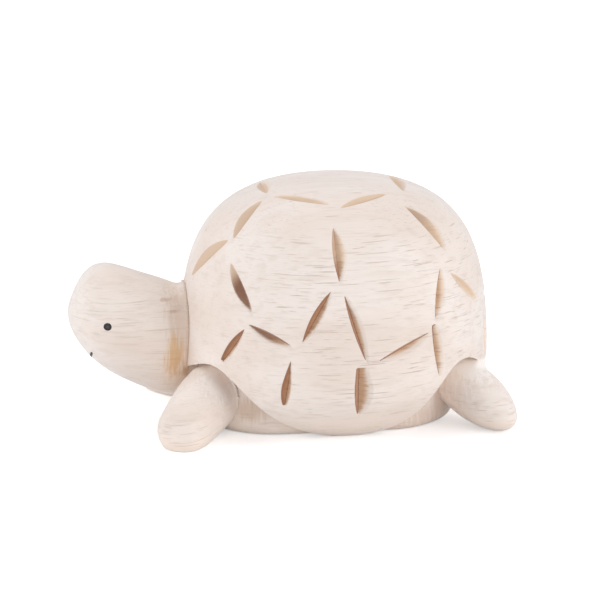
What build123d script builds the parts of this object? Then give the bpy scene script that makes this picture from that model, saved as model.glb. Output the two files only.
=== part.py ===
from build123d import *
from math import cos, radians, sin, tan
import os

# A small hand-carved turtle of pale unfinished wood that stands on a flat underside.
# Millimetres. The head points along -X, the turtle's left side faces -Y, up is +Z.
# The origin is the middle of the flat underside, on the table.
# The shell is one hollowed block, and the belly block fills it from below.
# Neck, legs and tail are doweled into them. Eyes and mouth are thin coats of paint.

# Shell
shell_length = 47.6
shell_width = 42.0
shell_height = 37.1
girth_height = 10.3
underside_length = 31.0
crown_fullness_share = 0.758
skirt_shares = ((0, 0), (0.4, 0.15), (1, 0.45), (1, 1))

# The shell's lower edge leaves the table and arches over the legs, in front and behind.
# Each pair is a share of half the shell's length and a share of the arch's height.
front_arch_height = 10.3
front_arch_shares = ((0.084, 0), (0.742, 0.275), (0.736, 1.649), (1, 0.818))
rear_arch_height = 11.4
rear_arch_shares = ((0.021, 0), (0.636, 0), (0.587, 1.832), (1, 0.546))

# Gouge strokes that draw the plates of the shell
stroke_depth = 0.7
stroke_half_angle = 46
runout_share = 0.2
cutter_depth_share = 4

# Each stroke: bearing and climb share of its start, then of its end, the share of the full
# depth, the lean of the gouge, and the ends that stop square. A bearing turns from the tail
# to the turtle's left. The climb share runs along the outline, from the table to the crown.
# The turtle's right side mirrors these.
paired_strokes_shares = (
    (149, 0.783, 98, 0.765, 0.9, 0, ""),
    (95, 0.748, 49, 0.801, 0.9, 0, ""),
    (151, 0.763, 147, 0.608, 0.9, 12, ""),
    (149, 0.612, 171, 0.470, 0.9, 12, ""),
    (51, 0.738, 44, 0.565, 1.0, -15, ""),
    (144, 0.555, 128, 0.418, 1.0, 12, ""),
    (98, 0.683, 95, 0.515, 0.8, -15, ""),
    (98, 0.503, 109, 0.355, 1.1, -6, ""),
    (94, 0.498, 85, 0.297, 0.8, -15, ""),
    (50, 0.537, 57, 0.392, 1.1, -15, ""),
    (46, 0.515, 26, 0.405, 0.9, 12, ""),
    (131, 0.388, 142, 0.284, 1.0, 0, "end"),
    (131, 0.398, 111, 0.342, 0.9, 15, ""),
    (82, 0.304, 59, 0.370, 0.6, 15, ""),
    (58, 0.385, 55, 0.230, 1.0, -15, "start"),
    (113, 0.300, 116, 0.178, 0.6, 0, "end"),
    (88, 0.291, 88, 0.150, 0.6, -15, "both"),
    (20, 0.382, 17, 0.200, 1.0, 0, ""),
)
# These cross the middle line over the top, fore and aft, and over the rump.
crossing_strokes_shares = (
    (157, 0.79, 203, 0.79, 1.3, 0, ""),
    (33, 0.79, -33, 0.79, 1.3, 0, ""),
    (16, 0.405, -16, 0.405, 0.9, 0, ""),
)

# Belly block
belly_height = 12.5
belly_side_wall = 0.7
belly_front_inset = 2.3
belly_rear_inset = 5.3
belly_corner_share = 0.93
belly_edge_radius = 1.6

# Head and neck, one piece on an axis that rises towards the nose
neck_seat_height = 12.3
neck_seat_inset = 0.5
head_length = 18.4
head_rise_angle = 19.5
head_half_width = 7.4
neck_half_width = 5.4
crown_rise = 8.0
crown_run = 5.5
chin_drop = 8.8
chin_run = 14.5
cheek_run = 8.0
neck_overlap = 5.2
neck_dowel_radius = 4.0
crown_power = 2.75
chin_power = 1.84
cheek_power = 2.2
head_station_shares = (0.004, 0.03, 0.1, 0.22, 0.38, 0.56, 0.78, 1)

# Legs: where the axis starts in the belly and where the toe ends, on the turtle's right, and
# the outline as shares of the leg's length and of its radius. A place is given by how far it
# lies inside the shell's front or rear end, by its distance from the middle and by its height.
front_leg_root = (5.7, 5.0, 6.3)
front_leg_toe = (-3.0, 18.6, 1.6)
front_leg_radius = 5.0
front_leg_shares = ((0, 0), (0, 1.87), (0.46, 0.23), (1, 1.46), (1, 0))
rear_leg_root = (9.5, 3.7, 9.1)
rear_leg_toe = (-1.3, 16.5, 1.5)
rear_leg_radius = 4.7
rear_leg_shares = ((0, 0.6), (0.6, 1.1), (0.7, 0.86), (1, 0.55), (1, 0))
leg_dowel_radius = 1.5

# Tail, a small cone under the rump, placed like the legs
tail_root = (9.8, 0, 5.2)
tail_tip = (-0.6, 0, 2.6)
tail_root_radius = 2.6
tail_tip_radius = 1.1
tail_dowel_radius = 1.2

# Paint, let in flush with the wood
paint_thickness = 0.2
eye_diameter = 1.25
eye_setback = 5.65
mouth_line_width = 0.5
mouth_half_span = 3.7
mouth_bow = 0.9
mouth_drop_angle = 70.5

# Joining
dowel_depth = 1.5
glue_line = 0.1
overrun = 5.0

half_length = shell_length / 2
half_width = shell_width / 2
width_ratio = shell_width / shell_length


def pieces_by_size(shape):
    """The solids of a shape, the largest first."""
    return sorted(shape.solids(), key=lambda solid: solid.volume, reverse=True)


def shell_outline(grow):
    """Side view of half the uncut shell: the skirt up to the girth and the dome to the crown."""
    start = underside_length / 2
    reach = half_length + grow
    crown = shell_height + grow
    dome_rise = girth_height + crown_fullness_share * (crown - girth_height)
    skirt_points = [(start + out * (reach - start), 0, up * girth_height) for out, up in skirt_shares]
    skirt = Bezier(*skirt_points)
    dome = Bezier(
        (reach, 0, girth_height),
        (reach, 0, dome_rise),
        (crown_fullness_share * reach, 0, crown),
        (0, 0, crown),
    )
    return skirt, dome, crown


def uncut_shell(grow):
    """The whole dome, oval in plan, with no arches."""
    skirt, dome, crown = shell_outline(grow)
    middle = Line((0, 0, crown), (0, 0, 0))
    underside = Line((0, 0, 0), (underside_length / 2, 0, 0))
    round_dome = revolve(make_face([underside, skirt, dome, middle]), Axis.Z, 360)
    return scale(round_dome, by=(1, width_ratio, 1))


def arch_opening(shares, height, side):
    """What an arch takes off the shell, right across it. Side is -1 in front and 1 behind."""
    points = [(side * half_length * along, 0, height * up) for along, up in shares]
    outside = side * (half_length + overrun)
    edge = Bezier(*points)
    rest = Polyline(
        points[-1],
        (outside, 0, height),
        (outside, 0, -overrun),
        (points[0][0], 0, -overrun),
        points[0],
    )
    return extrude(make_face([edge, rest]), half_width + overrun, dir=(0, 1, 0), both=True)


def shell_form(grow):
    """The shell's outer shape with its arches, before it is hollowed and carved."""
    front = arch_opening(front_arch_shares, front_arch_height - grow, -1)
    rear = arch_opening(rear_arch_shares, rear_arch_height - grow, 1)
    return uncut_shell(grow) - front - rear


def belly_block(grow):
    """The belly block, rounded in plan, before its lower edge is rounded."""
    front = -half_length + belly_front_inset - grow
    rear = half_length - belly_rear_inset + grow
    side = underside_length * width_ratio / 2 - belly_side_wall
    outline = RectangleRounded(rear - front, 2 * (side + grow), belly_corner_share * side + grow)
    return extrude(Pos((front + rear) / 2) * outline, belly_height + grow)


def shell_point(bearing, climb_share):
    """A place on the dome."""
    skirt, dome, crown = shell_outline(0)
    outline = Wire([skirt, dome])
    place = outline @ climb_share
    turn = radians(bearing)
    return Vector(place.X * cos(turn), -place.X * sin(turn) * width_ratio, place.Z)


def stroke_cutter(smooth_shell, row):
    """A wheel with a V edge, set so that its edge dips into the dome between two places."""
    start_bearing, start_climb, end_bearing, end_climb, depth_share, lean, stops = row
    depth = stroke_depth * depth_share
    turn = (end_bearing - start_bearing) * runout_share
    climb = (end_climb - start_climb) * runout_share
    first = shell_point(start_bearing, start_climb)
    last = shell_point(end_bearing, end_climb)
    entry, leave = first, last
    if stops in ("start", "both"):
        entry = shell_point(start_bearing - turn, start_climb - climb)
    if stops in ("end", "both"):
        leave = shell_point(end_bearing + turn, end_climb + climb)
    chord = leave - entry
    along = chord.normalized()
    middle = (entry + leave) / 2
    core = Vector(0, 0, girth_height)
    out_ray = Axis(core, middle - core)
    hits = smooth_shell.find_intersection_points(out_ray)
    hit, normal = max(hits, key=lambda found: (found[0] - core).dot(out_ray.direction))
    bulge = (hit - middle).dot(normal)
    dip = depth**2 / (depth + bulge)
    radius = (chord.length**2 / 4 + dip**2) / (2 * dip)
    outward = normal.rotate(Axis((0, 0, 0), along), lean)
    hub = middle + outward * (radius - dip)
    bevel = cutter_depth_share * stroke_depth
    thickness = bevel * tan(radians(stroke_half_angle))
    plane = Plane(origin=hub, x_dir=outward, z_dir=along)
    profile = Polyline(
        (0, -thickness),
        (radius - bevel, -thickness),
        (radius, 0),
        (radius - bevel, thickness),
        (0, thickness),
        close=True,
    )
    wheel = revolve(plane * make_face(profile), Axis(hub, plane.y_dir), 360)
    if stops in ("start", "both"):
        wheel = split(wheel, Plane(origin=first, z_dir=along), keep=Keep.TOP)
    if stops in ("end", "both"):
        wheel = split(wheel, Plane(origin=last, z_dir=along), keep=Keep.BOTTOM)
    return wheel


def head_section(distance, half_width, height, depth):
    """An oval across the head's axis, at a distance behind the nose."""
    middle = nose + head_back * distance + head_up * (height - depth) / 2
    plane = Plane(origin=middle, x_dir=(0, 1, 0), z_dir=head_back)
    return plane * Ellipse(half_width, (height + depth) / 2)


def rounded_rise(distance, run, rise, power):
    """A rise that starts square to the axis and levels off after its run."""
    left = max(0, 1 - distance / run)
    return rise * (1 - left**power) ** (1 / power)


def head_form(grow):
    """Head and neck in one smooth loft, from the nose to inside the shell."""
    end = head_length + neck_overlap
    sections = [Vertex(*nose)]
    for share in head_station_shares:
        distance = share * end
        height = rounded_rise(distance, crown_run, crown_rise, crown_power)
        depth = rounded_rise(distance, chin_run, chin_drop, chin_power)
        cheek = rounded_rise(distance, cheek_run, head_half_width, cheek_power)
        waist = (head_half_width - neck_half_width) * min(1, distance / head_length) ** 2
        sections.append(head_section(distance, cheek - waist + grow, height + grow, depth + grow))
    return loft(sections)


def from_end(end, place, side):
    """A place measured from the shell's front end, -1, or rear end, 1, on one side of it."""
    inset, outward, height = place
    return Vector(end * (half_length - inset), side * outward, height)


def rod(start, end, radius):
    """A round bar between two places."""
    along = end - start
    return extrude(Plane(origin=start, z_dir=along) * Circle(radius), along.length)


def doweled(form, root, tip, radius):
    """A form seated on the body, with a peg from behind its root to its middle, and the hole."""
    middle = (root + tip) / 2
    back = (root - tip).normalized()
    peg = rod(root + back * dowel_depth, middle, radius)
    hole = rod(root + back * (dowel_depth + glue_line), middle, radius + glue_line)
    return seat(form) + peg, hole


def seat(form):
    """What is left of a form when shell and belly, with the glue, are cut away."""
    rest = form - shell_form(glue_line) - belly_block(glue_line)
    return pieces_by_size(rest)[0]


def leg_form(root, toe, radius, shares):
    """An egg or club along an axis from its root to its toe, flat where it meets the table."""
    along = (toe - root).normalized()
    length = (toe - root).length
    plane = Plane(origin=root, x_dir=along, z_dir=along.cross(Vector(0, 0, 1)))
    outline = Bezier(*[(length * ahead, radius * out) for ahead, out in shares])
    axis_line = Line((0, 0), (length, 0))
    edges = [outline, axis_line]
    if shares[0][1] > 0:
        edges.append(Line((0, 0), outline @ 0))
    club = revolve(plane * make_face(edges), Axis(root, along), 360)
    return split(club, Plane.XY, keep=Keep.TOP)


def tail_form(root, tip):
    """A small cone with a rounded tip."""
    along = (tip - root).normalized()
    length = (tip - root).length
    plane = Plane(origin=root, x_dir=along, z_dir=along.cross(Vector(0, 0, 1)))
    cap = CenterArc((length, 0), tail_tip_radius, 0, 90)
    side = Line((length, tail_tip_radius), (0, tail_root_radius))
    end = Line((0, tail_root_radius), (0, 0))
    middle = Line((0, 0), (length + tail_tip_radius, 0))
    return revolve(plane * make_face([cap, side, end, middle]), Axis(root, along), 360)


def paint_film(wood, outline, inward):
    """A thin coat over the outline, let into the wood's surface."""
    core = Pos(*(inward * paint_thickness)) * wood
    return pieces_by_size((wood & outline) - core)[0]


def eye_film(wood, side):
    """A round dot on one side of the head. Side is -1 for the left and 1 for the right."""
    place = nose + head_back * eye_setback
    outside = place + Vector(0, side * (head_half_width + overrun), 0)
    dot = rod(place, outside, eye_diameter / 2)
    return paint_film(wood, dot, Vector(0, -side, 0))


def mouth_film(wood):
    """A short curved line across the chin."""
    drop = radians(mouth_drop_angle)
    core = nose + head_back * cheek_run
    outward = head_back * -cos(drop) - head_up * sin(drop)
    plane = Plane(origin=core, x_dir=(0, 1, 0), z_dir=outward)
    lift = 1 if plane.y_dir.dot(head_up) > 0 else -1
    line = ThreePointArc(
        (-mouth_half_span, lift * mouth_bow),
        (0, 0),
        (mouth_half_span, lift * mouth_bow),
    )
    stroke = extrude(plane * SlotArc(line, mouth_line_width), chin_drop + overrun)
    return paint_film(wood, stroke, -outward)


head_back = Vector(cos(radians(head_rise_angle)), 0, -sin(radians(head_rise_angle)))
head_up = Vector(sin(radians(head_rise_angle)), 0, cos(radians(head_rise_angle)))
neck_seat = Vector(-half_length + neck_seat_inset, 0, neck_seat_height)
nose = neck_seat - head_back * head_length

parts = {}
holes = []

neck_root = neck_seat + head_back * neck_overlap
head, hole = doweled(head_form(0), neck_root, nose, neck_dowel_radius)
holes.append(hole)
parts["left_eye"] = eye_film(head, -1)
parts["right_eye"] = eye_film(head, 1)
parts["mouth"] = mouth_film(head)
parts["head"] = head - parts["left_eye"] - parts["right_eye"] - parts["mouth"]

neck = head_form(glue_line)
for name, end, root_place, toe_place, radius, shares in (
    ("front", -1, front_leg_root, front_leg_toe, front_leg_radius, front_leg_shares),
    ("rear", 1, rear_leg_root, rear_leg_toe, rear_leg_radius, rear_leg_shares),
):
    for side_name, side in (("left", -1), ("right", 1)):
        root = from_end(end, root_place, side)
        toe = from_end(end, toe_place, side)
        club = leg_form(root, toe, radius, shares)
        leg, hole = doweled(club - neck, root, toe, leg_dowel_radius)
        parts[name + "_" + side_name + "_leg"] = leg
        holes.append(hole)

root, tip = from_end(1, tail_root, 1), from_end(1, tail_tip, 1)
parts["tail"], hole = doweled(tail_form(root, tip), root, tip, tail_dowel_radius)
holes.append(hole)

belly = belly_block(0)
belly = fillet(belly.edges().group_by(Axis.Z)[0], belly_edge_radius)
shell = shell_form(0) - belly_block(glue_line)
for hole in holes:
    belly = belly - hole
    shell = shell - hole
smooth = uncut_shell(0)
for row in paired_strokes_shares:
    cutter = stroke_cutter(smooth, row)
    shell = shell - cutter - mirror(cutter, about=Plane.XZ)
for row in crossing_strokes_shares:
    shell = shell - stroke_cutter(smooth, row)
parts["belly"] = belly
parts["shell"] = shell

os.makedirs("parts", exist_ok=True)
for name, part in parts.items():
    export_step(part, "parts/" + name + ".step")
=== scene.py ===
import math

import bpy
import numpy as np
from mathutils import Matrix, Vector, noise
from mathutils.bvhtree import BVHTree


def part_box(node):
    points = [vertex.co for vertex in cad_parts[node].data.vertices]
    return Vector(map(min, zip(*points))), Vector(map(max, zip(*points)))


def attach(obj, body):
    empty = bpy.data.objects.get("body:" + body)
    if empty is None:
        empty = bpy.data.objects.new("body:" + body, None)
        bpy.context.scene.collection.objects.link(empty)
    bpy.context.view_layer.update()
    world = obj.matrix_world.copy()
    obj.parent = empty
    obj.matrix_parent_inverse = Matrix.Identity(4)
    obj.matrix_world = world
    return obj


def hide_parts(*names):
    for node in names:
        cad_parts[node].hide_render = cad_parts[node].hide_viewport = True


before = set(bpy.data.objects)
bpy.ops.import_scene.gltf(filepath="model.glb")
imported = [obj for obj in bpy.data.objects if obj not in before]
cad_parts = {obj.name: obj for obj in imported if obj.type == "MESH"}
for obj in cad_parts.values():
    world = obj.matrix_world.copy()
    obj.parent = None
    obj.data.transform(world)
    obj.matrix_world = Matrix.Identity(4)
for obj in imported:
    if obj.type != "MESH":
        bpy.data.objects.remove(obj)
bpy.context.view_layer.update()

# The scene works in the row frame. Shapes are worked out in millimetres and stored in metres.
MM = 0.001

# Camera of the photograph, in degrees, mm and pixels
VIEW_TURN = 8
VIEW_RISE = 15
CAMERA_DISTANCE = 450
PIXELS_PER_MM = 6.43
IMAGE_SIZE = 600
ORIGIN_PIXEL = (333, 409.2)
SENSOR = 36
NEAREST_SEEN = 10

# Wood pieces: grid size of the carved surface in mm, most triangles, grain turn in degrees,
# how much the seams with other pieces darken it, how strongly its pores show
PIECES = {
    "shell": (0.11, 190000, 1.0, 0.35, 1.0),
    "belly": (0.22, 40000, 3.0, 0.35, 0.8),
    "head": (0.15, 90000, -1.5, 0.45, 0.5),
    "front_left_leg": (0.15, 45000, 5.0, 0.35, 0.7),
    "front_right_leg": (0.15, 45000, -3.0, 0.35, 0.7),
    "rear_left_leg": (0.15, 45000, 4.0, 0.1, 0.8),
    "rear_right_leg": (0.15, 45000, -2.0, 0.1, 0.8),
    "tail": (0.15, 15000, 2.0, 0.45, 0.8),
}
JOINED_TO_HEAD = ("left_eye", "right_eye", "mouth")

# Knife waves on the surfaces, in mm
KNIFE_WAVE = 5.0
KNIFE_DEPTH = 0.03
# A piece's number times these shifts its noise, so that no two pieces look alike.
KNIFE_SHIFT = (17.3, 5.1, 9.7)
WOOD_SHIFT = (3.7, 11.3, 7.9)

# Seams between pieces, in mm. Closeness is 1 where pieces touch and 0 at the reach.
SEAM_REACH = 1.6
TOUCHING_CLOSENESS = 0.8
TOUCHING_BLEND = 0.12
GLUE_SWELL = 0.17
FILLET_POWER = 1.8
# Height of a fillet in mm and the direction that it faces. On the left side Y changes its sign.
NECK_FILLET = (1.1, (0, 0, 1))
LEG_FILLETS = {"front": (1.1, (-0.2, 0.6, 0.8)), "rear": (1.6, (0.5, 0.6, 0.8))}

# The shell's uncut dome, as in the CAD, in mm, and the depth of a full gouge stroke
DOME_HALF_LENGTH = 23.8
DOME_HALF_WIDTH = 21.0
DOME_HEIGHT = 37.1
GIRTH_HEIGHT = 10.3
CROWN_FULLNESS = 0.758
UNDERSIDE_HALF_LENGTH = 15.5
SKIRT_SHARES = np.array([(0, 0), (0.4, 0.15), (1, 0.45), (1, 1)])
STROKE_DEPTH = 0.7
# What lies deeper or lower than these belongs to the shell's hollow or its underside.
DEEPEST_CUT = 4 * STROKE_DEPTH
LOWEST_CUT = GIRTH_HEIGHT / 3
OUTLINE_STEPS = 500
POINTS_AT_ONCE = 4000
# The inner side of the shell faces away from the dome, and the walls of a stroke don't.
# The edges of the arches over the legs don't either, so they wrongly take the strokes' colours.
WALL_FACING = 0.3
WALL_FACING_BLEND = 0.15
# A gouge stroke's walls that face this way are the steep ones, and they get painted shade.
PAINTED_SHADE_FACING = np.array((0.8, 0, -0.6))

# Paint: lengths in mm, numbers of points, and shares. Its rim sinks into the wood.
PAINT_SINK = 0.03
DOT_THICKNESS = 0.045
DOT_LEAST = 0.004
DOT_RINGS = 14
DOT_SPOKES = 64
DOT_RAGGED = 0.03
LINE_WIDTH = 0.5
LINE_THICKNESS = 0.03
LINE_LEAST = 0.003
LINE_POINTS = 41
LINE_ACROSS = 9
LINE_MARGIN = 0.1
LINE_RAGGED = 0.16
LINE_TIP = 0.05
ROUND_END = 1 / 6
CURVE_DEGREE = 4
RAY_START_ASIDE = 20
RAY_START_CLOSE = 6

# Noise in the wood, in waves per mm along the length, the width and the height
BROAD_WAVES = (0.04, 0.1, 0.1)
BAND_WAVES = (0.02, 0.9, 0.9)
FIBRE_WAVES = (0.25, 1.5, 7)
CROWD_WAVES = (0.08, 0.3, 0.3)
RING_WAVES = (0.1, 0.4, 2.6)
GRIME_WAVES = (1.1, 1.1, 1.1)
STREAK_WAVES = (2.2, 1.2, 0.22)

# Pores are dashes. Their waves along the length and the height come first. Those along the width
# differ between steep surfaces and flat ones, where they keep the dashes narrow.
LONG_DASH_WAVES = (0.15, 6.4)
SHORT_DASH_WAVES = (0.36, 7.2)
STEEP_WIDTH_WAVES = 0.5
FLAT_WIDTH_WAVES = 4.2
# The noise makes a pore where it lies above this level.
DASH_LEVEL = 0.655
PORE_STRENGTH = 0.55

# Walls within this reach in mm make a pocket. The photo is brighter there than the lamps make it,
# so the wood's colour is made paler and warmer to match. That isn't a property of the real wood.
POCKET_REACH = 7

# Zones on the shell in mm: where each starts and where it is full, and for some the values there
FEW_PORES = (-19, -8, 0.35, 1.0)
PALE_CROWN = (33, 34.5, 0, 0.75)
PALE_UPPER = (26.5, 29.5, 0, 0.4)
PALE_BACK = (13.3, 14.4, 0, 0.75)
PALE_BACK_TOP = (27.5, 26)
PALE_FRONT = (15, 18, 0, 0.7)
PALE_FRONT_HEIGHT = 25
PALE_FRONT_LEAN = 0.9
WIDE_BACK = (9.5, 11.5)
WIDE_CROWN = (26, 29)


def cad_surface(nodes):
    """Vertices in mm and faces of some CAD nodes together."""
    verts, faces, start = [], [], 0
    for name in nodes:
        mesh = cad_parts[name].data
        verts.append(positions(mesh) / MM)
        faces += [[start + v for v in p.vertices] for p in mesh.polygons]
        start += len(mesh.vertices)
    return np.vstack(verts), faces


def new_object(name, verts, faces):
    mesh = bpy.data.meshes.new(name)
    mesh.from_pydata(verts, [], faces)
    obj = bpy.data.objects.new(name, mesh)
    bpy.context.scene.collection.objects.link(obj)
    return obj


def bake_modifiers(obj):
    """Replaces the object's mesh by what its modifiers make of it."""
    graph = bpy.context.evaluated_depsgraph_get()
    mesh = bpy.data.meshes.new_from_object(obj.evaluated_get(graph))
    obj.modifiers.clear()
    old = obj.data
    obj.data = mesh
    bpy.data.meshes.remove(old)


def positions(mesh):
    co = np.zeros(len(mesh.vertices) * 3)
    mesh.vertices.foreach_get("co", co)
    return co.reshape(-1, 3)


def set_positions(mesh, co):
    mesh.vertices.foreach_set("co", co.ravel())
    mesh.update()


def normals(mesh):
    out = np.zeros(len(mesh.vertices) * 3)
    mesh.vertex_normals.foreach_get("vector", out)
    return out.reshape(-1, 3)


def set_attribute(mesh, name, values):
    attribute = mesh.attributes.new(name, "FLOAT", "POINT")
    attribute.data.foreach_set("value", values.astype(np.float32))


def search_tree(verts, faces):
    return BVHTree.FromPolygons([tuple(p) for p in verts], [list(f) for f in faces])


def carve(name, nodes, grid, most):
    """A wood piece with softened edges on an even grid."""
    obj = new_object(name, *cad_surface(nodes))
    remesh = obj.modifiers.new("grid", "REMESH")
    remesh.mode = "VOXEL"
    remesh.voxel_size = grid
    smooth = obj.modifiers.new("soft", "SMOOTH")
    smooth.factor = 0.5
    smooth.iterations = 1
    bake_modifiers(obj)
    triangles = 2 * len(obj.data.polygons)
    if triangles > most:
        fewer = obj.modifiers.new("fewer", "DECIMATE")
        fewer.ratio = most / triangles
        bake_modifiers(obj)
    return obj


def knife_waves(mesh, seed):
    """Shallow waves that a hand-held knife leaves."""
    co = positions(mesh)
    offset = Vector([seed * k for k in KNIFE_SHIFT])
    wave = np.array([noise.noise(Vector(p) / KNIFE_WAVE + offset) for p in co])
    set_positions(mesh, co + normals(mesh) * (wave * KNIFE_DEPTH)[:, None])


def seam_closeness(mesh, others):
    """1 where another piece touches this one, falling to 0 at the seam's reach."""
    trees = [search_tree(*surface) for surface in others]
    near = np.zeros(len(mesh.vertices))
    for k, p in enumerate(positions(mesh)):
        best = SEAM_REACH
        for tree in trees:
            hit = tree.find_nearest(Vector(p), best)
            if hit[3] is not None:
                best = min(best, hit[3])
        near[k] = 1 - best / SEAM_REACH
    return near


def swell_seams(mesh, near):
    """Closes the glue gap: the wood that meets another piece swells a little."""
    touching = np.clip((near - TOUCHING_CLOSENESS) / TOUCHING_BLEND, 0, 1)
    set_positions(mesh, positions(mesh) + normals(mesh) * (GLUE_SWELL * touching)[:, None])


def raise_fillet(mesh, near, height, aim, side=1):
    """Lifts the wood beside a seam into a small fillet, where it faces a direction."""
    out = normals(mesh)
    lift = height * near**FILLET_POWER * np.clip(out @ (np.array(aim) * (1, side, 1)), 0, 1)
    set_positions(mesh, positions(mesh) + out * lift[:, None])


def dome_outline():
    """Points along the uncut dome's side view, and where it faces at each, outward and up."""
    t = np.linspace(0, 1, OUTLINE_STEPS)[:, None]
    dome_rise = GIRTH_HEIGHT + CROWN_FULLNESS * (DOME_HEIGHT - GIRTH_HEIGHT)
    dome = np.array(
        [
            (DOME_HALF_LENGTH, GIRTH_HEIGHT),
            (DOME_HALF_LENGTH, dome_rise),
            (CROWN_FULLNESS * DOME_HALF_LENGTH, DOME_HEIGHT),
            (0, DOME_HEIGHT),
        ]
    )
    flare = np.array((DOME_HALF_LENGTH - UNDERSIDE_HALF_LENGTH, GIRTH_HEIGHT))
    skirt = SKIRT_SHARES * flare + (UNDERSIDE_HALF_LENGTH, 0)
    weights = np.hstack([(1 - t) ** 3, 3 * (1 - t) ** 2 * t, 3 * (1 - t) * t**2, t**3])
    outline = np.vstack([(weights @ skirt)[:-1], weights @ dome])
    run = np.gradient(outline, axis=0)
    facing = np.stack([run[:, 1], -run[:, 0]], axis=1) / np.linalg.norm(run, axis=1)[:, None]
    return outline, facing


def gouge_cuts(mesh):
    """Each point's depth under the uncut dome, in full strokes, and how far it faces as the walls
    with painted shade do.
    """
    outline, facing = dome_outline()
    co, out = positions(mesh), normals(mesh)
    squeeze = DOME_HALF_LENGTH / DOME_HALF_WIDTH
    turn = np.arctan2(co[:, 1] * squeeze, co[:, 0])
    place = np.stack([np.hypot(co[:, 0], co[:, 1] * squeeze), co[:, 2]], axis=1)
    depth = np.zeros(len(co))
    dome_out = np.zeros((len(co), 3))
    for start in range(0, len(co), POINTS_AT_ONCE):
        part = slice(start, start + POINTS_AT_ONCE)
        gap = place[part, None, :] - outline[None]
        best = np.argmin((gap**2).sum(axis=2), axis=1)
        depth[part] = -((place[part] - outline[best]) * facing[best]).sum(axis=1)
        level, rise = facing[best, 0], facing[best, 1]
        along, aside = level * np.cos(turn[part]), level * np.sin(turn[part]) * squeeze
        dome_out[part] = np.stack([along, aside, rise], 1)
    dome_out /= np.linalg.norm(dome_out, axis=1)[:, None]
    open_wall = np.clip(((out * dome_out).sum(axis=1) - WALL_FACING) / WALL_FACING_BLEND, 0, 1)
    outside = (depth < DEEPEST_CUT) & (co[:, 2] > LOWEST_CUT)
    cut = np.where(outside, np.clip(depth / STROKE_DEPTH, 0, 1), 0) * open_wall
    wall = (out - dome_out) @ PAINTED_SHADE_FACING
    return cut, wall


def paint_dot(name, tree, centre, radius, side):
    """A drop of paint laid on the head, a little lower in its middle than round it."""
    verts, faces = [], []
    for i in range(DOT_RINGS + 1):
        share = i / DOT_RINGS
        for j in range(DOT_SPOKES):
            turn = 2 * math.pi * j / DOT_SPOKES
            # Noise read round a circle makes the rim ragged without a jump.
            circle = Vector((2 * math.cos(turn), 2 * math.sin(turn), side * 3.1))
            reach = radius * share * (1 + DOT_RAGGED * noise.noise(circle))
            start = (
                centre[0] + reach * math.cos(turn),
                side * RAY_START_ASIDE,
                centre[2] + reach * math.sin(turn),
            )
            hit, out, _, _ = tree.ray_cast(Vector(start), Vector((0, -side, 0)))
            dome = math.sqrt(max(0, 1 - share**4)) * (0.7 + 0.3 * share**2)
            lift = DOT_THICKNESS * dome + DOT_LEAST
            if i == DOT_RINGS:
                lift = -PAINT_SINK
            verts.append(tuple(hit + out * lift))
    for i in range(DOT_RINGS):
        inner, outer = i * DOT_SPOKES, (i + 1) * DOT_SPOKES
        for j in range(DOT_SPOKES):
            k = (j + 1) % DOT_SPOKES
            faces.append((inner + j, outer + j, outer + k, inner + k))
    return new_object(name, verts, faces)


def paint_line(name, tree, points):
    """A stroke of paint laid on the head along some points, with round ends."""
    verts, faces = [], []
    last = len(points) - 1
    _, outward, _, _ = tree.find_nearest(Vector(np.mean(points, axis=0)))
    for i, point in enumerate(points):
        before, after = Vector(points[max(0, i - 1)]), Vector(points[min(last, i + 1)])
        aside = (after - before).normalized().cross(outward).normalized()
        end_share = min(i, last - i) / last * 2
        round_off = math.sqrt(max(0, 1 - (1 - min(1, end_share / ROUND_END)) ** 2))
        wobble = 1 + LINE_RAGGED * noise.noise(Vector((i * 0.21, 4.2, 1.3)))
        half = LINE_WIDTH / 2 * max(LINE_TIP, round_off) * wobble
        for j in range(LINE_ACROSS):
            share = 2 * j / (LINE_ACROSS - 1) - 1
            place = Vector(point) + aside * share * half + outward * RAY_START_CLOSE
            hit, out, _, _ = tree.ray_cast(place, -outward)
            lift = LINE_THICKNESS * (1 - share**4) + LINE_LEAST
            if j in (0, LINE_ACROSS - 1) or i in (0, last):
                lift = -PAINT_SINK
            verts.append(tuple(hit + out * lift))
    for i in range(last):
        for j in range(LINE_ACROSS - 1):
            a = i * LINE_ACROSS + j
            faces.append((a, a + 1, a + LINE_ACROSS + 1, a + LINE_ACROSS))
    return new_object(name, verts, faces)


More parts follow.
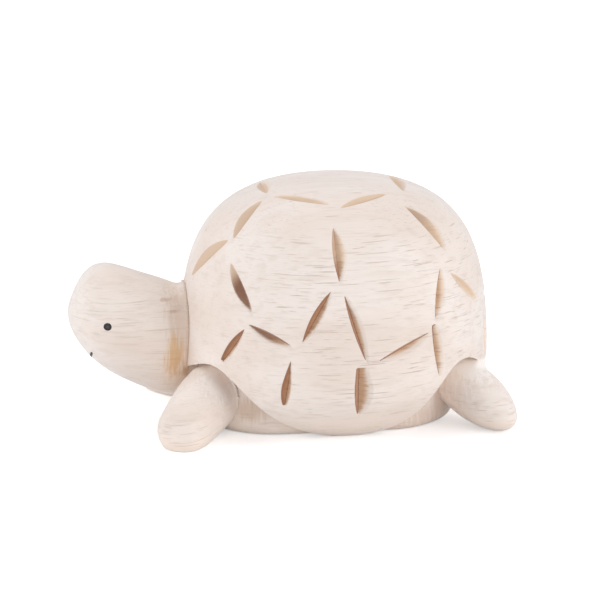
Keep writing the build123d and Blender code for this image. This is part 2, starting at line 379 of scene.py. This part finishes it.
class Graph:
    """Builds a material's nodes with short calls."""

    def __init__(self, name):
        self.material = bpy.data.materials.new(name)
        self.material.use_nodes = True
        self.tree = self.material.node_tree
        self.nodes = self.tree.nodes
        self.shader = self.nodes["Principled BSDF"]

    def link(self, value, socket):
        if isinstance(value, bpy.types.NodeSocket):
            self.tree.links.new(value, socket)
        else:
            socket.default_value = value

    def math(self, operation, a, b=0.0):
        node = self.nodes.new("ShaderNodeMath")
        node.operation = operation
        self.link(a, node.inputs[0])
        self.link(b, node.inputs[1])
        return node.outputs[0]

    def ramp(self, value, low, high, out_low=0.0, out_high=1.0):
        """A smooth step from one value to another."""
        node = self.nodes.new("ShaderNodeMapRange")
        node.interpolation_type = "SMOOTHSTEP"
        for k, given in enumerate((value, low, high, out_low, out_high)):
            self.link(given, node.inputs[k])
        return node.outputs[0]

    def mix(self, factor, a, b):
        node = self.nodes.new("ShaderNodeMix")
        node.data_type = "RGBA"
        self.link(factor, node.inputs[0])
        self.link(a, node.inputs[6])
        self.link(b, node.inputs[7])
        return node.outputs[2]

    def placed(self, waves, turn=0.0, shift=(0, 0, 0)):
        """Object coordinates in mm, turned about Y, stretched and moved."""
        coords = self.nodes.new("ShaderNodeTexCoord")
        turned = self.nodes.new("ShaderNodeMapping")
        self.link(coords.outputs["Object"], turned.inputs["Vector"])
        turned.inputs["Rotation"].default_value = (0, math.radians(turn), 0)
        turned.inputs["Scale"].default_value = (1 / MM,) * 3
        node = self.nodes.new("ShaderNodeMapping")
        self.link(turned.outputs[0], node.inputs["Vector"])
        node.inputs["Scale"].default_value = waves
        node.inputs["Location"].default_value = shift
        return node.outputs[0]

    def noise(self, vector, detail=2.0, rough=0.5, distortion=0.0):
        node = self.nodes.new("ShaderNodeTexNoise")
        self.link(vector, node.inputs["Vector"])
        node.inputs["Scale"].default_value = 1.0
        node.inputs["Detail"].default_value = detail
        node.inputs["Roughness"].default_value = rough
        node.inputs["Distortion"].default_value = distortion
        return node.outputs[0]

    def distance(self, centre, stretch=(1, 1, 1)):
        """Distance in mm from a place, with the axes stretched."""
        node = self.nodes.new("ShaderNodeVectorMath")
        node.operation = "DISTANCE"
        self.link(self.placed(stretch), node.inputs[0])
        node.inputs[1].default_value = [c * k for c, k in zip(centre, stretch)]
        return node.outputs["Value"]

    def spot(self, centre, stretch, reach, shift):
        """1 at a place and 0 beyond a ragged edge with streaks up and down."""
        streak = self.noise(self.placed(STREAK_WAVES, 0, shift), 3, 0.65)
        ragged = self.math("MULTIPLY", self.math("SUBTRACT", streak, 0.5), reach * 1.5)
        away = self.math("ADD", self.distance(centre, stretch), ragged)
        return self.ramp(away, reach, reach * 0.3)

    def place(self):
        """Object coordinates in mm, one by one."""
        node = self.nodes.new("ShaderNodeSeparateXYZ")
        self.link(self.placed((1, 1, 1)), node.inputs[0])
        return node.outputs

    def rise(self):
        """How far the surface faces up, or down where it is negative."""
        coords = self.nodes.new("ShaderNodeTexCoord")
        node = self.nodes.new("ShaderNodeSeparateXYZ")
        self.link(coords.outputs["Normal"], node.inputs[0])
        return node.outputs[2]

    def openness(self, reach):
        """1 in the open and 0 in a pocket whose walls lie within a reach in mm."""
        node = self.nodes.new("ShaderNodeAmbientOcclusion")
        node.inputs["Distance"].default_value = reach * MM
        node.samples = 8
        return node.outputs["AO"]

    def attribute(self, name):
        node = self.nodes.new("ShaderNodeAttribute")
        node.attribute_name = name
        return node.outputs["Fac"]

    def bump(self, height, distance):
        node = self.nodes.new("ShaderNodeBump")
        node.inputs["Distance"].default_value = distance * MM
        self.link(height, node.inputs["Height"])
        return node.outputs[0]


def srgb(r, g, b):
    """A colour as it is seen, to the linear values that a shader takes."""
    shares = [v / 255 for v in (r, g, b)]
    linear = [v / 12.92 if v <= 0.04045 else ((v + 0.055) / 1.055) ** 2.4 for v in shares]
    return (*linear, 1.0)


# Colours of the wood
LIGHT_WOOD = srgb(241, 229, 219)
DARKER_WOOD = srgb(234, 218, 205)
BAND = srgb(219, 202, 187)
FIBRE = srgb(215, 196, 180)
# Painted light that makes pockets paler and warmer
PAINTED_POCKET_LIGHT = srgb(255, 236, 220)
PORE = srgb(194, 163, 138)
SEAM = srgb(176, 138, 104)

# Colours in the gouge strokes: the cut wood's own brown, with painted light on one wall and painted
# shade on the other. Each wall goes from its rim to the crease.
CUT_WOOD_PAINTED_LIT = (srgb(236, 216, 195), srgb(202, 162, 126))
CUT_WOOD_PAINTED_SHADE = (srgb(150, 98, 62), srgb(178, 126, 86))
RING = srgb(156, 100, 62)
# Painted shade along the line where a stroke's walls meet
PAINTED_CREASE_SHADE = srgb(122, 78, 54)
# Pale stroke colour; high on the shell it is partly painted light from above
PALE_STROKE = srgb(241, 217, 190)

# Colours of the paint
BLACK = (srgb(24, 20, 22), srgb(44, 39, 40))
# Painted highlight in the middle of a dot
PAINTED_HIGHLIGHT_GREY = srgb(74, 66, 66)

# Stains, and pale places that are painted light: place in mm, stretch of the axes, reach in mm,
# colour, strength
EVEN = (1, 1, 1)
STAINS_AND_PAINTED_LIGHT = {
    "head": (
        ((-24.2, -4.5, 16.0), (1, 0.6, 0.3), 3.0, srgb(212, 188, 170), 0.6),
        ((-24.6, -5.0, 8.0), (1, 1, 0.6), 3.6, srgb(230, 204, 182), 0.4),
        ((-25.2, -5.9, 10.8), (1, 1, 0.36), 1.9, srgb(218, 174, 118), 0.7),
        ((-23.4, -4.2, 8.4), (1, 1, 0.8), 1.2, srgb(212, 166, 118), 0.6),
        ((-26.4, -4.2, 19.7), (0.6, 1, 2.5), 0.9, srgb(190, 160, 136), 0.5),
        ((-25.3, -4.8, 18.0), (0.8, 1, 2.5), 0.9, srgb(190, 160, 136), 0.5),
    ),
    "belly": (
        # Painted light: the whole belly is made paler, where the shell shades it. Darker tan patches
        # follow.
        ((0, 0, 0), EVEN, 90.0, srgb(250, 238, 228), 0.4),
        ((14.8, -9.4, 3.6), (1, 1, 0.6), 3.0, srgb(196, 150, 122), 0.2),
        ((8.0, -11.0, 1.5), (0.4, 1, 1), 3.5, srgb(214, 186, 164), 0.5),
        ((-14.5, -11.9, 4.0), (0.7, 1, 1), 2.6, srgb(212, 182, 152), 0.5),
    ),
}
# Painted light: the legs are made palest at their tops, which the shell's rim shades. The places are
# on the right side.
PAINTED_LIGHT_LEG_TOP_STRENGTH = 0.85
PAINTED_LIGHT_LEG_TOPS = {
    "front": ((-17.8, 11.5, 9.5), 6.0, srgb(250, 241, 232)),
    "rear": ((18.9, 10.1, 10.0), 7.0, srgb(252, 245, 238)),
}
for end, ((along, out, up), reach, tone) in PAINTED_LIGHT_LEG_TOPS.items():
    for side_name, side in (("left", -1), ("right", 1)):
        top = (along, side * out, up)
        STAINS_AND_PAINTED_LIGHT[f"{end}_{side_name}_leg"] = ((top, EVEN, reach, tone, PAINTED_LIGHT_LEG_TOP_STRENGTH),)


def grain(g, turn, shift, broad, fibres):
    """The wood's colour: broad changes, bands and fibres, with painted light that makes pockets
    paler.
    """
    colour = g.mix(g.ramp(broad, 0.35, 0.65), LIGHT_WOOD, DARKER_WOOD)
    bands = g.noise(g.placed(BAND_WAVES, turn, shift), 2, 0.5, 0.2)
    colour = g.mix(g.ramp(bands, 0.5, 0.7, 0, 0.3), colour, BAND)
    colour = g.mix(g.ramp(fibres, 0.5, 0.75, 0, 0.3), colour, FIBRE)
    # Painted light: pockets are made paler and warmer.
    return g.mix(g.ramp(g.openness(POCKET_REACH), 0.85, 0.35, 0, 0.55), colour, PAINTED_POCKET_LIGHT)


def dashes(g, turn, shift, width_waves):
    """Long fine dashes and shorter, fainter ones between them."""
    along, up = LONG_DASH_WAVES
    long_dash = g.noise(g.placed((along, width_waves * 0.7, up), turn, shift), 1, 0.4)
    along, up = SHORT_DASH_WAVES
    other_shift = (shift[1], shift[2], shift[0])
    short_dash = g.noise(g.placed((along, width_waves, up), turn, other_shift), 1, 0.4)
    short = g.math("MULTIPLY", g.ramp(short_dash, DASH_LEVEL + 0.02, DASH_LEVEL + 0.09), 0.75)
    return g.math("MAXIMUM", g.ramp(long_dash, DASH_LEVEL, DASH_LEVEL + 0.06), short)


def pores(g, turn, shift, carved):
    """The wood's pores, crowded in places. The shell has fewer of them towards the head."""
    where = g.noise(g.placed(CROWD_WAVES, turn, shift), 2, 0.5)
    crowd = g.ramp(where, 0.3, 0.55, 0.35, 1.0)
    if carved:
        crowd = g.math("MULTIPLY", crowd, g.ramp(g.place()[0], *FEW_PORES))
    level = g.ramp(g.math("ABSOLUTE", g.rise()), 0.55, 0.8)
    on_steep = dashes(g, turn, shift, STEEP_WIDTH_WAVES)
    on_flat = dashes(g, turn, shift, FLAT_WIDTH_WAVES)
    steep = g.math("MULTIPLY", on_steep, g.math("SUBTRACT", 1.0, level))
    flat = g.math("MULTIPLY", on_flat, g.math("MULTIPLY", level, 0.7))
    return g.math("MULTIPLY", g.math("ADD", steep, flat), crowd)


def seam_grime(g, shift):
    """1 at the seams with other pieces, uneven as if rubbed."""
    grime = g.noise(g.placed(GRIME_WAVES, 0, shift), 3, 0.6)
    closeness = g.ramp(g.attribute("seam"), 0.66, 0.95)
    return g.math("MULTIPLY", closeness, g.ramp(grime, 0.3, 0.62, 0.3, 1.0))


def paleness(g, x, z):
    """Where strokes are pale: on the crown and high up, partly painted light from above, low at the
    back end and high in front.
    """
    height = g.math("MULTIPLY", g.math("SUBTRACT", z, PALE_FRONT_HEIGHT), PALE_FRONT_LEAN)
    front = g.ramp(g.math("SUBTRACT", height, x), *PALE_FRONT)
    back = g.math("MULTIPLY", g.ramp(x, *PALE_BACK), g.ramp(z, *PALE_BACK_TOP))
    above = g.math("MAXIMUM", g.ramp(z, *PALE_CROWN), g.ramp(z, *PALE_UPPER))
    return g.math("MAXIMUM", g.math("MAXIMUM", front, back), above)


def stroke_look(g, cut, rings):
    """The colour inside the gouge strokes, and how far it covers the wood's own."""
    wall = g.attribute("wall")
    # Painted shade on the walls that face away from the light, painted light on the others
    dark = g.ramp(wall, -0.1, 0.35)
    light_side = g.mix(g.ramp(cut, 0.15, 0.9), *CUT_WOOD_PAINTED_LIT)
    dark_side = g.mix(g.ramp(cut, 0.3, 0.8), *CUT_WOOD_PAINTED_SHADE)
    inside = g.mix(dark, light_side, dark_side)
    inside = g.mix(g.ramp(rings, 0.52, 0.64, 0, 0.4), inside, RING)
    # Painted shade: the line where the walls meet is made the darkest.
    crease = g.ramp(g.math("ABSOLUTE", g.math("SUBTRACT", wall, 0.1)), 0.4, 0.1)
    crease = g.math("MULTIPLY", crease, g.ramp(cut, 0.15, 0.35, 0, 0.8))
    inside = g.mix(crease, inside, PAINTED_CREASE_SHADE)
    x, _, z = g.place()
    inside = g.mix(paleness(g, x, z), inside, PALE_STROKE)
    # The light wall fades out early, except on the crown and at the back end.
    wide = g.math("MAXIMUM", g.ramp(x, *WIDE_BACK), g.ramp(z, *WIDE_CROWN))
    start = g.ramp(dark, 0, 1, g.ramp(wide, 0, 1, 0.2, 0.05), 0.02)
    full = g.ramp(dark, 0, 1, g.ramp(wide, 0, 1, 0.7, 0.4), 0.12)
    return inside, g.ramp(cut, start, full, 0, 0.95)


def wood(name, turn, seed, seam_strength, pore_strength, carved, stains_and_painted_light):
    """Pale unfinished wood."""
    g = Graph(name)
    shift = tuple(seed * k for k in WOOD_SHIFT)
    broad = g.noise(g.placed(BROAD_WAVES, turn, shift), 2, 0.5)
    fibres = g.noise(g.placed(FIBRE_WAVES, turn, shift), 2, 0.6)
    pore = pores(g, turn, shift, carved)
    colour = grain(g, turn, shift, broad, fibres)
    colour = g.mix(g.math("MULTIPLY", pore, PORE_STRENGTH * pore_strength), colour, PORE)
    colour = g.mix(g.math("MULTIPLY", seam_grime(g, shift), seam_strength), colour, SEAM)
    height = g.math("SUBTRACT", g.math("MULTIPLY", fibres, 0.2), pore)
    if carved:
        cut = g.attribute("cut")
        rings = g.noise(g.placed(RING_WAVES, turn, shift), 2, 0.5, 0.3)
        inside, cover = stroke_look(g, cut, rings)
        colour = g.mix(cover, colour, inside)
        height = g.math("ADD", height, g.math("MULTIPLY", g.ramp(cut, 0.1, 0.4), rings))
    # Stains, and pale places that are painted light
    for centre, stretch, reach, tone, strength in stains_and_painted_light:
        spot = g.spot(centre, stretch, reach, shift)
        colour = g.mix(g.math("MULTIPLY", spot, strength), colour, tone)
    g.link(colour, g.shader.inputs["Base Color"])
    g.link(g.ramp(broad, 0.3, 0.7, 0.52, 0.62), g.shader.inputs["Roughness"])
    g.shader.inputs["Specular IOR Level"].default_value = 0.3
    g.shader.inputs["Sheen Weight"].default_value = 0.35
    g.shader.inputs["Sheen Roughness"].default_value = 0.5
    g.link(g.bump(height, 0.03), g.shader.inputs["Normal"])
    return g.material


def black_paint(dot=None):
    """Black paint. A dot, given by its middle and radius, is greyer inside: a painted highlight."""
    g = Graph("black_paint_film")
    tone = g.noise(g.placed((3, 3, 3)), 3, 0.6)
    colour = g.mix(g.ramp(tone, 0.35, 0.7), *BLACK)
    if dot:
        centre, radius = dot
        # Painted highlight: the middle of a dot is made greyer.
        painted_highlight = g.ramp(g.distance(centre), radius * 0.75, radius * 0.2)
        colour = g.mix(g.math("MULTIPLY", painted_highlight, 0.8), colour, PAINTED_HIGHLIGHT_GREY)
    g.link(colour, g.shader.inputs["Base Color"])
    g.link(g.ramp(tone, 0.3, 0.7, 0.3, 0.45), g.shader.inputs["Roughness"])
    g.link(g.bump(g.noise(g.placed((9, 9, 9)), 2, 0.5), 0.006), g.shader.inputs["Normal"])
    return g.material


def finish_piece(obj, material, slot, *nodes):
    """Back to metres, smooth, in its material, riding on the body in place of its CAD nodes."""
    set_positions(obj.data, positions(obj.data) * MM)
    obj.data.polygons.foreach_set("use_smooth", np.ones(len(obj.data.polygons), bool))
    obj.data.materials.clear()
    obj.data.materials.append(material)
    obj.data.update()
    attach(obj, "root")
    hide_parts(*nodes)


def mouth_points():
    """Points along the middle of the CAD's mouth film, from side to side."""
    film, _ = cad_surface(["mouth"])
    across = np.linspace(film[:, 1].min() + LINE_MARGIN, film[:, 1].max() - LINE_MARGIN, LINE_POINTS)
    along = np.polyval(np.polyfit(film[:, 1], film[:, 0], CURVE_DEGREE), across)
    up = np.polyval(np.polyfit(film[:, 1], film[:, 2], CURVE_DEGREE), across)
    return np.stack([along, across, up], axis=1)


def paint_face(head):
    """Eyes and mouth, laid on the carved head."""
    tree = search_tree(positions(head), [p.vertices for p in head.polygons])
    for node, side in (("left_eye", -1), ("right_eye", 1)):
        low, high = (np.array(corner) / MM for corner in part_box(node))
        middle, radius = (low + high) / 2, (high - low)[2] / 2
        dot = paint_dot("turtle_" + node, tree, middle, radius, side)
        finish_piece(dot, black_paint((middle, radius)), "black_paint", node)
    line = paint_line("turtle_mouth", tree, mouth_points())
    finish_piece(line, black_paint(), "black_paint", "mouth")


def wood_piece(name, seed, others):
    """One wood piece: carved, fitted to its neighbours, and in its own wood."""
    grid, most, turn, seam_strength, pore_strength = PIECES[name]
    nodes = [name, *JOINED_TO_HEAD] if name == "head" else [name]
    obj = carve("turtle_" + name, nodes, grid, most)
    near = seam_closeness(obj.data, others)
    set_attribute(obj.data, "seam", near)
    carved = name == "shell"
    if carved:
        cut, wall = gouge_cuts(obj.data)
        set_attribute(obj.data, "cut", cut)
        set_attribute(obj.data, "wall", wall)
    knife_waves(obj.data, seed)
    if not carved:
        swell_seams(obj.data, near)
    if name.endswith("leg"):
        height, aim = LEG_FILLETS[name.split("_")[0]]
        raise_fillet(obj.data, near, height, aim, -1 if "left" in name else 1)
    if name == "head":
        raise_fillet(obj.data, near, *NECK_FILLET)
        paint_face(obj.data)
    stains_and_painted_light = STAINS_AND_PAINTED_LIGHT.get(name, ())
    material = wood("wood_" + name, turn, seed, seam_strength, pore_strength, carved, stains_and_painted_light)
    finish_piece(obj, material, "wood", name)


surfaces = {name: cad_surface([name]) for name in PIECES}
for seed, name in enumerate(PIECES):
    wood_piece(name, seed, [surface for other, surface in surfaces.items() if other != name])

# Floor, in metres, and backdrop. The camera sees both brighter than the turtle does.
FLOOR_HALF_SIZE = 3
FLOOR_TONE = (0.9, 0.9, 0.9, 1)
FLOOR_GLOW = 0.42
SKY_LEVEL = 0.5
SKY_TINT = (0.97, 0.99, 1.03, 1)
WHITE = (1, 1, 1, 1)


def white_table():
    """A matt white surface with a glow that only the camera sees."""
    g = Graph("white_table")
    path = g.nodes.new("ShaderNodeLightPath")
    g.shader.inputs["Base Color"].default_value = FLOOR_TONE
    g.shader.inputs["Roughness"].default_value = 0.9
    g.shader.inputs["Specular IOR Level"].default_value = 0.1
    g.shader.inputs["Emission Color"].default_value = WHITE
    glow = g.math("MULTIPLY", path.outputs["Is Camera Ray"], FLOOR_GLOW)
    g.link(glow, g.shader.inputs["Emission Strength"])
    return g.material


def lay_floor():
    h = FLOOR_HALF_SIZE
    floor = new_object("floor", [(-h, -h, 0), (h, -h, 0), (h, h, 0), (-h, h, 0)], [(0, 1, 2, 3)])
    floor.data.materials.append(white_table())


def light_sky():
    world = bpy.data.worlds.new("studio")
    bpy.context.scene.world = world
    world.use_nodes = True
    nodes, links = world.node_tree.nodes, world.node_tree.links
    backdrop = nodes["Background"]
    path = nodes.new("ShaderNodeLightPath")
    level = nodes.new("ShaderNodeMapRange")
    links.new(path.outputs["Is Camera Ray"], level.inputs[0])
    level.inputs[3].default_value = SKY_LEVEL
    level.inputs[4].default_value = 1.0
    links.new(level.outputs[0], backdrop.inputs["Strength"])
    tint = nodes.new("ShaderNodeMix")
    tint.data_type = "RGBA"
    links.new(path.outputs["Is Camera Ray"], tint.inputs[0])
    tint.inputs[6].default_value = SKY_TINT
    tint.inputs[7].default_value = WHITE
    links.new(tint.outputs[2], backdrop.inputs["Color"])


# Lamps: place in mm, size in m, power in W, colour
COOL = (0.97, 0.99, 1.04)
WARM = (1.02, 1.0, 0.97)
LAMPS = {
    "top": ((0, 300, 700), 0.5, 1.6, COOL),
    "left": ((-700, -50, 250), 0.5, 2.1, COOL),
    "right": ((620, -350, 250), 0.5, 2.3, COOL),
    "front": ((-50, -750, 120), 0.6, 1.35, WARM),
}
LAMP_TARGET = (0, 0, 18)


def softbox(name, place, size, power, colour):
    """A square lamp aimed at the turtle."""
    lamp = bpy.data.lights.new(name, "AREA")
    lamp.color = colour
    lamp.size = size
    lamp.energy = power
    obj = bpy.data.objects.new(name, lamp)
    bpy.context.scene.collection.objects.link(obj)
    obj.location = Vector(place) * MM
    aim = Vector(LAMP_TARGET) * MM - obj.location
    obj.rotation_euler = aim.to_track_quat("-Z", "Y").to_euler()


def place_camera():
    """The photograph's camera: its angles, its distance and where the origin is in the picture."""
    turn, rise = math.radians(VIEW_TURN), math.radians(VIEW_RISE)
    level_back = Vector((-math.sin(turn), -math.cos(turn), 0))
    back = level_back * math.cos(rise) + Vector((0, 0, math.sin(rise)))
    right = Vector((math.cos(turn), -math.sin(turn), 0))
    up = Vector((0, 0, math.cos(rise))) - level_back * math.sin(rise)
    shift_x, shift_y = ((v - IMAGE_SIZE / 2) / PIXELS_PER_MM for v in ORIGIN_PIXEL)
    target = -right * shift_x + up * shift_y
    lens = bpy.data.cameras.new("camera")
    lens.sensor_width = SENSOR
    lens.lens = PIXELS_PER_MM * CAMERA_DISTANCE * SENSOR / IMAGE_SIZE
    lens.clip_start = NEAREST_SEEN * MM
    camera = bpy.data.objects.new("camera", lens)
    bpy.context.scene.collection.objects.link(camera)
    camera.location = (target + back * CAMERA_DISTANCE) * MM
    camera.rotation_euler = back.to_track_quat("Z", "Y").to_euler()
    bpy.context.scene.camera = camera


lay_floor()
light_sky()
for name, lamp in LAMPS.items():
    softbox(name, *lamp)
place_camera()
bpy.context.scene.view_settings.view_transform = "Standard"
